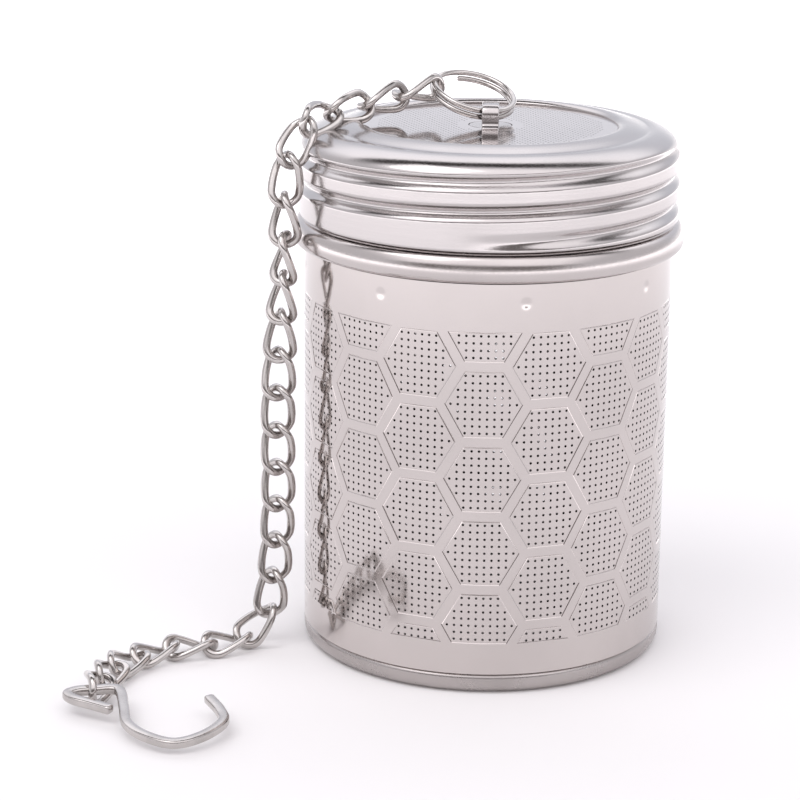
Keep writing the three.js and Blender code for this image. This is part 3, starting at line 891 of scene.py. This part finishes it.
def spun_lines_group():
    """Fine lines left by turning: noise that changes quickly with the distance from the
    axis and the height, and slowly round the piece."""
    tree, given, made = group_tree(
        "spun_lines",
        [
            ("Vector", "NodeSocketVector", None),
            ("Lines Per Metre", "NodeSocketFloat", 2500.0),
            ("Breaks Per Metre", "NodeSocketFloat", 60.0),
        ],
        [("Lines", "NodeSocketFloat")],
    )
    apart = node(tree, "ShaderNodeSeparateXYZ", {"Vector": given.outputs["Vector"]})
    level = node(tree, "ShaderNodeCombineXYZ", {"X": apart.outputs["X"], "Y": apart.outputs["Y"]})
    radius = node(tree, "ShaderNodeVectorMath", {0: level.outputs[0]}, operation="LENGTH")
    across = reckon(tree, "ADD", radius.outputs["Value"], apart.outputs["Z"])
    lines = reckon(tree, "MULTIPLY", across, given.outputs["Lines Per Metre"])
    slow = node(tree, "ShaderNodeVectorMath", {
        0: level.outputs[0], "Scale": given.outputs["Breaks Per Metre"]}, operation="SCALE")
    around = node(tree, "ShaderNodeSeparateXYZ", {"Vector": slow.outputs[0]})
    place = node(tree, "ShaderNodeCombineXYZ", {
        "X": around.outputs["X"], "Y": around.outputs["Y"], "Z": lines})
    noise = node(tree, "ShaderNodeTexNoise", {
        "Vector": place.outputs[0], "Scale": 1.0, "Detail": 2.0, "Roughness": 0.6})
    tree.links.new(noise.outputs["Fac"], made.inputs["Lines"])
    return tree


def handled_steel_group():
    """Handled bright steel: broad faint smudges and fine speckle."""
    tree, given, made = group_tree(
        "handled_steel",
        [
            ("Vector", "NodeSocketVector", None),
            ("Colour", "NodeSocketColor", (0.7, 0.68, 0.69, 1)),
            ("Smudged Colour", "NodeSocketColor", (0.62, 0.59, 0.6, 1)),
            ("Clean Roughness", "NodeSocketFloat", 0.12),
            ("Smudged Roughness", "NodeSocketFloat", 0.25),
            ("Speckle", "NodeSocketFloat", 0.04),
            ("Smudge Scale", "NodeSocketFloat", 90.0),
            ("Grain Scale", "NodeSocketFloat", 5000.0),
        ],
        [
            ("Colour", "NodeSocketColor"),
            ("Roughness", "NodeSocketFloat"),
            ("Grain", "NodeSocketFloat"),
        ],
    )
    smudge = node(tree, "ShaderNodeTexNoise", {
        "Vector": given.outputs["Vector"], "Scale": given.outputs["Smudge Scale"],
        "Detail": 3.0, "Roughness": 0.55})
    mask = node(tree, "ShaderNodeMapRange", {
        "Value": smudge.outputs["Fac"], "From Min": 0.42, "From Max": 0.68})
    grain = node(tree, "ShaderNodeTexNoise", {
        "Vector": given.outputs["Vector"], "Scale": given.outputs["Grain Scale"],
        "Detail": 1.0})
    colour = node(tree, "ShaderNodeMix", {
        "Factor": mask.outputs[0], 6: given.outputs["Colour"],
        7: given.outputs["Smudged Colour"]}, data_type="RGBA")
    rough = node(tree, "ShaderNodeMix", {
        "Factor": mask.outputs[0], 2: given.outputs["Clean Roughness"],
        3: given.outputs["Smudged Roughness"]}, data_type="FLOAT")
    centred = reckon(tree, "SUBTRACT", grain.outputs["Fac"], 0.5)
    speck = reckon(tree, "MULTIPLY", centred, given.outputs["Speckle"])
    total = node(tree, "ShaderNodeMath", {
        0: rough.outputs[0], 1: speck}, operation="ADD", use_clamp=True)
    tree.links.new(colour.outputs[2], made.inputs["Colour"])
    tree.links.new(total.outputs[0], made.inputs["Roughness"])
    tree.links.new(grain.outputs["Fac"], made.inputs["Grain"])
    return tree


def group_named(name, maker):
    found = bpy.data.node_groups.get(name)
    return found if found else maker()


def steel(name, colour, smudged, roughness, lines=0.0, grain=0.0, **wear):
    """Bright metal whose colour and roughness come from the handled steel group, with
    turned lines or grain in its bump."""
    found = bpy.data.materials.get(name)
    if found:
        return found
    material = bpy.data.materials.new(name)
    material.use_nodes = True
    tree = material.node_tree
    shader = tree.nodes["Principled BSDF"]
    shader.inputs["Metallic"].default_value = 1.0
    place = node(tree, "ShaderNodeTexCoord")
    handled = node(tree, "ShaderNodeGroup", node_tree=group_named(
        "handled_steel", handled_steel_group))
    tree.links.new(place.outputs["Object"], handled.inputs["Vector"])
    settings = {
        "Colour": (*colour, 1), "Smudged Colour": (*smudged, 1),
        "Clean Roughness": roughness[0], "Smudged Roughness": roughness[1], **wear,
    }
    for key, value in settings.items():
        handled.inputs[key].default_value = value
    tree.links.new(handled.outputs["Colour"], shader.inputs["Base Color"])
    tree.links.new(handled.outputs["Roughness"], shader.inputs["Roughness"])
    spun = node(tree, "ShaderNodeGroup", node_tree=group_named("spun_lines", spun_lines_group))
    tree.links.new(place.outputs["Object"], spun.inputs["Vector"])
    height = node(tree, "ShaderNodeMix", {
        "Factor": 0.5 if lines and grain else float(lines > 0),
        2: handled.outputs["Grain"], 3: spun.outputs["Lines"]}, data_type="FLOAT")
    bump = node(tree, "ShaderNodeBump", {
        "Height": height.outputs[0], "Strength": max(lines, grain), "Distance": 0.00002})
    tree.links.new(bump.outputs["Normal"], shader.inputs["Normal"])
    return material


# ---- settings -----------------------------------------------------------------------


class InfuserSheetSettings(bpy.types.PropertyGroup):
    """Sizes of the perforated sheet"""

    hole_diameter: bpy.props.FloatProperty(
        name="Hole Diameter", description="Width of the holes in the can",
        default=0.00031, min=0.0001, unit="LENGTH", precision=5)
    panel_gap: bpy.props.FloatProperty(
        name="Panel Gap", description="Plain strip between two panels, in millimetres",
        default=1.01, min=0.2)
    panel_groove: bpy.props.FloatProperty(
        name="Outline Width", description="Width of the pressed outline, in millimetres",
        default=0.16, min=0.05)
    groove_depth: bpy.props.FloatProperty(
        name="Outline Depth", description="Depth of the pressed outline",
        default=0.00004, min=0.0, unit="LENGTH", precision=5)
    panel_depth: bpy.props.FloatProperty(
        name="Panel Depth", description="How far a panel is pressed in",
        default=0.00002, min=0.0, unit="LENGTH", precision=5)
    screen_hole: bpy.props.FloatProperty(
        name="Lid Hole Diameter", description="Width of the holes in the lid's disc",
        default=0.0002, min=0.0001, unit="LENGTH", precision=5)
    screen_pitch: bpy.props.FloatProperty(
        name="Lid Hole Pitch", description="Distance between the holes in the disc",
        default=0.00062, min=0.0004, unit="LENGTH", precision=5)
    screen_reach: bpy.props.FloatProperty(
        name="Lid Hole Field", description="Radius of the field of holes in the disc",
        default=0.0126, min=0.004, unit="LENGTH", precision=4)


class InfuserFinishSettings(bpy.types.PropertyGroup):
    """Colours of the steels"""

    sheet_colour: bpy.props.FloatVectorProperty(
        name="Can", description="Colour of the can's sheet",
        default=(0.605, 0.56, 0.545), subtype="COLOR", min=0, max=1)
    satin_colour: bpy.props.FloatVectorProperty(
        name="Collar and Base", description="Colour of the satin steel",
        default=(0.56, 0.52, 0.51), subtype="COLOR", min=0, max=1)
    lid_colour: bpy.props.FloatVectorProperty(
        name="Lid", description="Colour of the lid's polished steel",
        default=(0.54, 0.51, 0.505), subtype="COLOR", min=0, max=1)
    disc_colour: bpy.props.FloatVectorProperty(
        name="Disc", description="Colour of the lid's disc",
        default=(0.60, 0.56, 0.555), subtype="COLOR", min=0, max=1)
    wire_colour: bpy.props.FloatVectorProperty(
        name="Wire", description="Colour of the ring, chain and hook",
        default=(0.57, 0.54, 0.525), subtype="COLOR", min=0, max=1)


class InfuserStageSettings(bpy.types.PropertyGroup):
    """Camera and light"""

    lens: bpy.props.FloatProperty(
        name="Lens", description="Focal length of the camera",
        default=117.554, min=20, subtype="DISTANCE_CAMERA")
    light_strength: bpy.props.FloatProperty(
        name="Studio Strength", description="Brightness of the surrounding light",
        default=1.0, min=0.0)
    floor_colour: bpy.props.FloatVectorProperty(
        name="Floor", description="Colour of the floor",
        default=(0.9, 0.89, 0.895), subtype="COLOR", min=0, max=1)


def tinted(colour, share):
    return tuple(share * value for value in colour)


def can_steel():
    colour = bpy.context.scene.infuser_finish.sheet_colour
    return steel("can_finish", colour, tinted(colour, 0.94), (0.07, 0.13),
                 grain=0.05, **{"Grain Scale": 2600.0, "Smudge Scale": 70.0})


def satin_steel():
    colour = bpy.context.scene.infuser_finish.satin_colour
    return steel("satin_finish", colour, tinted(colour, 0.92), (0.17, 0.26),
                 lines=0.3, grain=0.2, **{"Speckle": 0.1})


def base_steel_painted_shade():
    # The satin colour is darkened to 0.84 here: painted shade for the base, which sits low in the
    # floor's contact shadow. Its rougher satin is real.
    colour = tinted(bpy.context.scene.infuser_finish.satin_colour, 0.84)
    return steel("base_satin_painted_shade", colour, tinted(colour, 0.9), (0.24, 0.34),
                 lines=0.2, grain=0.3, **{"Speckle": 0.1})


def lid_steel():
    colour = bpy.context.scene.infuser_finish.lid_colour
    return steel("lid_finish", colour, tinted(colour, 0.95), (0.15, 0.22),
                 lines=0.3, grain=0.4, **{"Speckle": 0.1})


def disc_steel():
    colour = bpy.context.scene.infuser_finish.disc_colour
    return steel("disc_finish", colour, tinted(colour, 0.93), (0.06, 0.12), grain=0.06)


def wire_steel():
    colour = bpy.context.scene.infuser_finish.wire_colour
    return steel("wire_finish", colour, tinted(colour, 0.85), (0.13, 0.26),
                 grain=0.12, **{"Smudge Scale": 400.0, "Grain Scale": 3000.0})


# ---- operators ----------------------------------------------------------------------


class InfuserCan(bpy.types.Operator):
    """Builds the perforated tube of the can"""

    bl_idname = "infuser.can"
    bl_label = "Can"

    def execute(self, context):
        points, triangles, quads, normals = tube_sheet(context.scene.infuser_sheet)
        piece = new_piece("can_sheet", points, triangles, quads, normals=normals)
        finish_piece(piece, can_steel(), "can", "perforated_steel", "body_tube")
        bands = (
            ("can_top_band", FIELD_SHEET_HIGH, TUBE_TOP, TOP_WELDS),
            ("can_low_band", TUBE_BOTTOM, FIELD_SHEET_LOW, LOW_WELDS),
        )
        for name, low, high, welds in bands:
            band = new_piece(name, *band_shape(low, high, welds))
            finish_piece(band, can_steel(), "can", "perforated_steel", "body_tube")
        return {"FINISHED"}


class InfuserBase(bpy.types.Operator):
    """Builds the pressed base cup"""

    bl_idname = "infuser.base"
    bl_label = "Base Cup"

    def execute(self, context):
        piece = new_piece("base_pressing", *base_shape())
        finish_piece(piece, base_steel_painted_shade(), "can", "satin_steel", "base_cup")
        return {"FINISHED"}


class InfuserCollar(bpy.types.Operator):
    """Builds the collar with its bead and threaded neck"""

    bl_idname = "infuser.collar"
    bl_label = "Collar"

    def execute(self, context):
        piece = new_piece("collar_pressing", *collar_shape())
        finish_piece(piece, satin_steel(), "can", "satin_steel", "collar")
        return {"FINISHED"}


class InfuserLid(bpy.types.Operator):
    """Builds the threaded shell of the lid"""

    bl_idname = "infuser.lid"
    bl_label = "Lid Shell"

    def execute(self, context):
        piece = new_piece("lid_pressing", *lid_shape())
        finish_piece(piece, lid_steel(), "lid", "polished_steel", "lid_shell")
        return {"FINISHED"}


class InfuserScreen(bpy.types.Operator):
    """Builds the finely punched disc of the lid"""

    bl_idname = "infuser.screen"
    bl_label = "Lid Disc"

    def execute(self, context):
        piece = new_piece("lid_disc", *screen_shape(context.scene.infuser_sheet))
        finish_piece(piece, disc_steel(), "lid", "mirror_steel", "lid_screen")
        return {"FINISHED"}


class InfuserBail(bpy.types.Operator):
    """Builds the bail and its foot"""

    bl_idname = "infuser.bail"
    bl_label = "Bail"

    def execute(self, context):
        piece = new_piece("bail_strap", *bail_shape(), sharp=45.0)
        finish_piece(piece, lid_steel(), "bail", "polished_steel", "bail")
        return {"FINISHED"}


class InfuserRing(bpy.types.Operator):
    """Builds the split ring"""

    bl_idname = "infuser.ring"
    bl_label = "Split Ring"

    def execute(self, context):
        piece = new_piece("ring_wire", *ring_shape())
        finish_piece(piece, wire_steel(), "ring", "wire_steel", "split_ring")
        return {"FINISHED"}


class InfuserChain(bpy.types.Operator):
    """Builds the links of the chain, each where its own joint puts it"""

    bl_idname = "infuser.chain"
    bl_label = "Chain"

    def execute(self, context):
        points, triangles, quads = link_shape()
        for k, (middle, along, width) in enumerate(link_places(), start=1):
            basis = np.stack([along, width, np.cross(along, width)])
            placed = points @ basis + middle
            piece = new_piece(f"link_{k:02d}_wire", placed, triangles, quads)
            node_name = f"chain_link_{k:02d}"
            finish_piece(piece, wire_steel(), f"link_{k:02d}", "wire_steel", node_name)
        return {"FINISHED"}


class InfuserHook(bpy.types.Operator):
    """Builds the hook"""

    bl_idname = "infuser.hook"
    bl_label = "Hook"

    def execute(self, context):
        piece = new_piece("hook_wire", *hook_shape())
        finish_piece(piece, wire_steel(), "hook", "wire_steel", "hook")
        return {"FINISHED"}


def ramp_colour(tree, factor, stops):
    """Colour ramp with a stop at each (position, colour)."""
    made = node(tree, "ShaderNodeValToRGB", {"Fac": factor})
    elements = made.color_ramp.elements
    while len(elements) < len(stops):
        elements.new(0.5)
    for element, (position, colour) in zip(elements, stops):
        element.position = position
        element.color = (*colour, 1)
    return made.outputs["Color"]


def studio_world(strength):
    """Surrounding light, as an arch from the front over the top to the back: a dim low
    band, a white soft box, a dark gap over the top, and a white back wall."""
    world = bpy.data.worlds.new("studio")
    world.use_nodes = True
    tree = world.node_tree
    ground = tree.nodes["Background"]
    ground.inputs["Strength"].default_value = strength
    place = node(tree, "ShaderNodeTexCoord")
    apart = node(tree, "ShaderNodeSeparateXYZ", {"Vector": place.outputs["Generated"]})
    ahead = reckon(tree, "MULTIPLY", apart.outputs["Y"], -1.0)
    arch = reckon(tree, "ARCTAN2", apart.outputs["Z"], ahead)
    share = reckon(tree, "DIVIDE", arch, math.pi)
    over = ramp_colour(tree, share, [
        (0.0, (0.5, 0.48, 0.48)), (0.03, (0.22, 0.2, 0.2)), (0.11, (0.22, 0.2, 0.2)),
        (0.18, (1.5, 1.46, 1.5)), (0.44, (1.6, 1.56, 1.6)), (0.5, (0.8, 0.78, 0.82)),
        (0.53, (0.04, 0.035, 0.035)), (0.61, (0.04, 0.035, 0.035)), (0.65, (1.7, 1.68, 1.74)),
        (0.77, (1.5, 1.5, 1.58)), (0.85, (0.85, 0.87, 0.95)), (0.93, (0.83, 0.85, 0.93)),
        (1.0, (1.4, 1.38, 1.42)),
    ])
    spread = reckon(tree, "ABSOLUTE", apart.outputs["X"])
    side = node(tree, "ShaderNodeMapRange", {
        "Value": spread, "From Min": 0.55, "From Max": 0.9},
        interpolation_type="SMOOTHSTEP")
    mixed = node(tree, "ShaderNodeMix", {
        "Factor": side.outputs[0], 6: over, 7: (0.8, 0.79, 0.82, 1)}, data_type="RGBA")
    tree.links.new(mixed.outputs[2], ground.inputs["Color"])
    return world


def soft_light(name, place, target, size, power):
    lamp = bpy.data.lights.new(name, "AREA")
    lamp.shape = "RECTANGLE"
    lamp.size, lamp.size_y = size
    lamp.energy = power
    made = bpy.data.objects.new(name, lamp)
    bpy.context.scene.collection.objects.link(made)
    made.location = place
    aim = Vector(target) - Vector(place)
    made.rotation_euler = aim.to_track_quat("-Z", "Y").to_euler()
    return made


def floor_mesh(settings):
    """Flat floor far wider than the view. It glows faintly near the middle and brightly far off:
    painted light standing in for a brightly lit far floor.
    """
    corners = np.array([(-1, -1, 0), (1, -1, 0), (1, 1, 0), (-1, 1, 0)]) * FLOOR_REACH
    floor = new_piece("floor", corners - (0, 0, FLOOR_DROP), [], [(0, 1, 2, 3)])
    material = bpy.data.materials.new("floor_paint_and_glow")
    material.use_nodes = True
    tree = material.node_tree
    shader = tree.nodes["Principled BSDF"]
    shader.inputs["Base Color"].default_value = (*settings.floor_colour, 1)
    shader.inputs["Roughness"].default_value = 0.9
    shader.inputs["Specular IOR Level"].default_value = 0.1
    shader.inputs["Emission Strength"].default_value = 1.0
    # Painted light: the floor's glow rises from 0.05 within 0.15 m of the middle to 1.3 beyond 0.5
    # m, for a bright far floor.
    place = node(tree, "ShaderNodeTexCoord")
    reach = node(tree, "ShaderNodeVectorMath", {0: place.outputs["Object"]}, operation="LENGTH")
    far = node(tree, "ShaderNodeMapRange", {
        "Value": reach.outputs["Value"], "From Min": 0.15, "From Max": 0.5})
    painted_far_glow = ramp_colour(tree, far.outputs[0], [
        (0.0, (0.05, 0.045, 0.045)), (1.0, (1.3, 1.27, 1.3))])
    tree.links.new(painted_far_glow, shader.inputs["Emission Color"])
    floor.data.materials.append(material)


def studio_camera(settings):
    """Camera in front, a little above and to the right."""
    yaw, pitch, roll = map(math.radians, CAMERA_ANGLES)
    view = Vector((
        math.sin(yaw) * math.cos(pitch), math.cos(yaw) * math.cos(pitch), -math.sin(pitch)
    ))
    level = Vector((math.cos(yaw), -math.sin(yaw), 0))
    upright = level.cross(view)
    right = level * math.cos(roll) + upright * math.sin(roll)
    up = upright * math.cos(roll) - level * math.sin(roll)
    data = bpy.data.cameras.new("view")
    data.sensor_width = 36
    data.lens = settings.lens
    data.clip_start = 0.01
    data.clip_end = 20
    camera = bpy.data.objects.new("view", data)
    bpy.context.scene.collection.objects.link(camera)
    turn = Matrix((right, up, -view)).transposed().to_4x4()
    camera.matrix_world = Matrix.Translation(Vector(CAMERA_PLACE) * MM) @ turn
    bpy.context.scene.camera = camera


class InfuserStage(bpy.types.Operator):
    """Sets up the floor, the light and the camera"""

    bl_idname = "infuser.stage"
    bl_label = "Stage"

    def execute(self, context):
        settings = context.scene.infuser_stage
        floor_mesh(settings)
        context.scene.world = studio_world(settings.light_strength)
        soft_light("soft_box", SOFT_BOX_PLACE, SOFT_BOX_TARGET, SOFT_BOX_SIZE, SOFT_BOX_POWER)
        studio_camera(settings)
        context.scene.view_settings.view_transform = "Standard"
        return {"FINISHED"}


class InfuserPanel(bpy.types.Panel):
    """Lists the pieces and their settings"""

    bl_idname = "VIEW3D_PT_infuser"
    bl_label = "Tea Infuser"
    bl_space_type = "VIEW_3D"
    bl_region_type = "UI"
    bl_category = "Infuser"

    def draw(self, context):
        for group in (
            context.scene.infuser_sheet,
            context.scene.infuser_finish,
            context.scene.infuser_stage,
        ):
            box = self.layout.box()
            for name in group.__annotations__:
                box.prop(group, name)
        for operator in PIECE_OPERATORS:
            self.layout.operator(operator.bl_idname)


PIECE_OPERATORS = (
    InfuserCan,
    InfuserBase,
    InfuserCollar,
    InfuserLid,
    InfuserScreen,
    InfuserBail,
    InfuserRing,
    InfuserChain,
    InfuserHook,
    InfuserStage,
)
SETTINGS = {
    "infuser_sheet": InfuserSheetSettings,
    "infuser_finish": InfuserFinishSettings,
    "infuser_stage": InfuserStageSettings,
}


def register():
    for made in (*SETTINGS.values(), *PIECE_OPERATORS, InfuserPanel):
        bpy.utils.register_class(made)
    for name, group in SETTINGS.items():
        setattr(bpy.types.Scene, name, bpy.props.PointerProperty(type=group))


def unregister():
    for name in SETTINGS:
        delattr(bpy.types.Scene, name)
    for made in (InfuserPanel, *reversed(PIECE_OPERATORS), *reversed(SETTINGS.values())):
        bpy.utils.unregister_class(made)


def main():
    register()
    for operator in PIECE_OPERATORS:
        family, name = operator.bl_idname.split(".")
        getattr(getattr(bpy.ops, family), name)()


if __name__ == "__main__":
    main()
